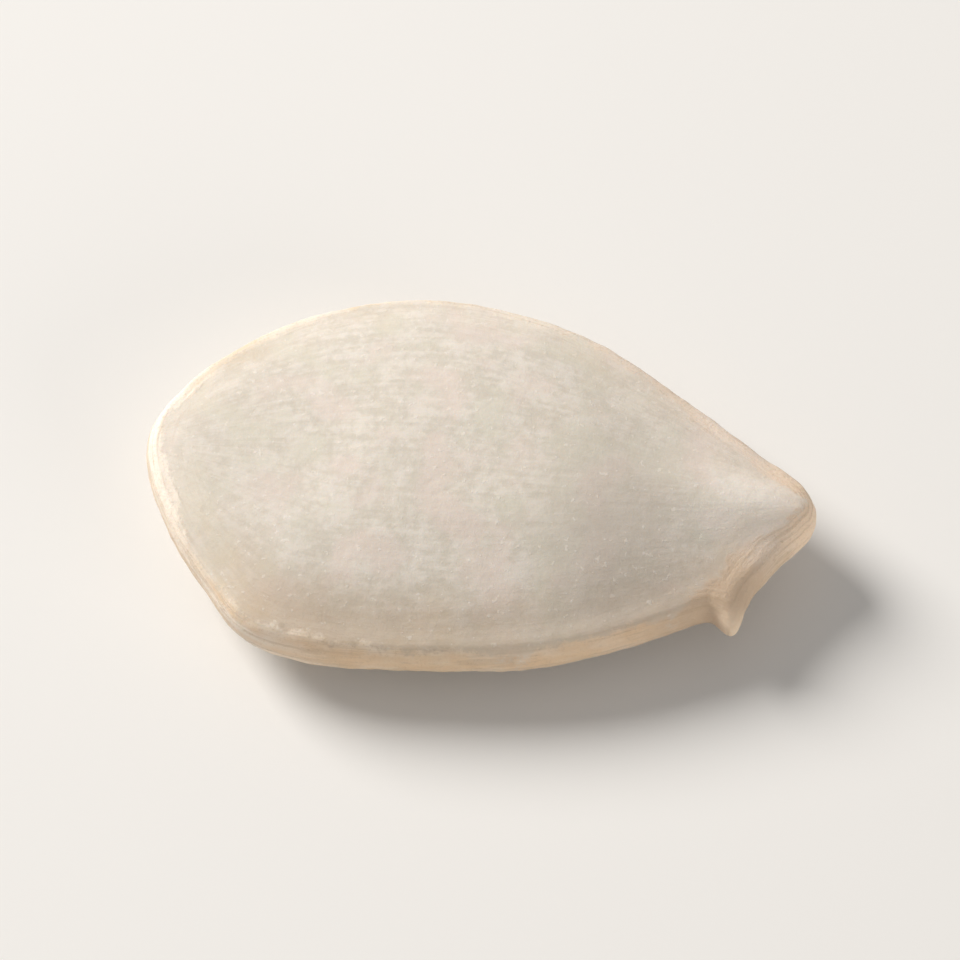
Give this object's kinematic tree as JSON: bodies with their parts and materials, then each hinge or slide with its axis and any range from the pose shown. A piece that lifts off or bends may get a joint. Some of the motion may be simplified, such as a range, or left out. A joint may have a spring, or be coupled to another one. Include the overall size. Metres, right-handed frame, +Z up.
{
  "type": "winter melon seed",
  "caption": "Dried winter melon seed: a flat, cream, egg-shaped seed with a blunt margin, and a short beak and small scar bump at its pointed end. It lies on one face.",
  "frame": {"origin": "on the resting surface, under the middle of the seed's box", "axes": "+X along the seed towards its beak, +Y across its width, away from the scar bump, +Z up through its thickness"},
  "size_m": [0.012, 0.0074, 0.0023],
  "materials": {
    "shell": "dry, matte cream shell with a thin greyish film"
  },
  "bodies": {
    "root": {"seed": "shell"}
  },
  "joints": []
}
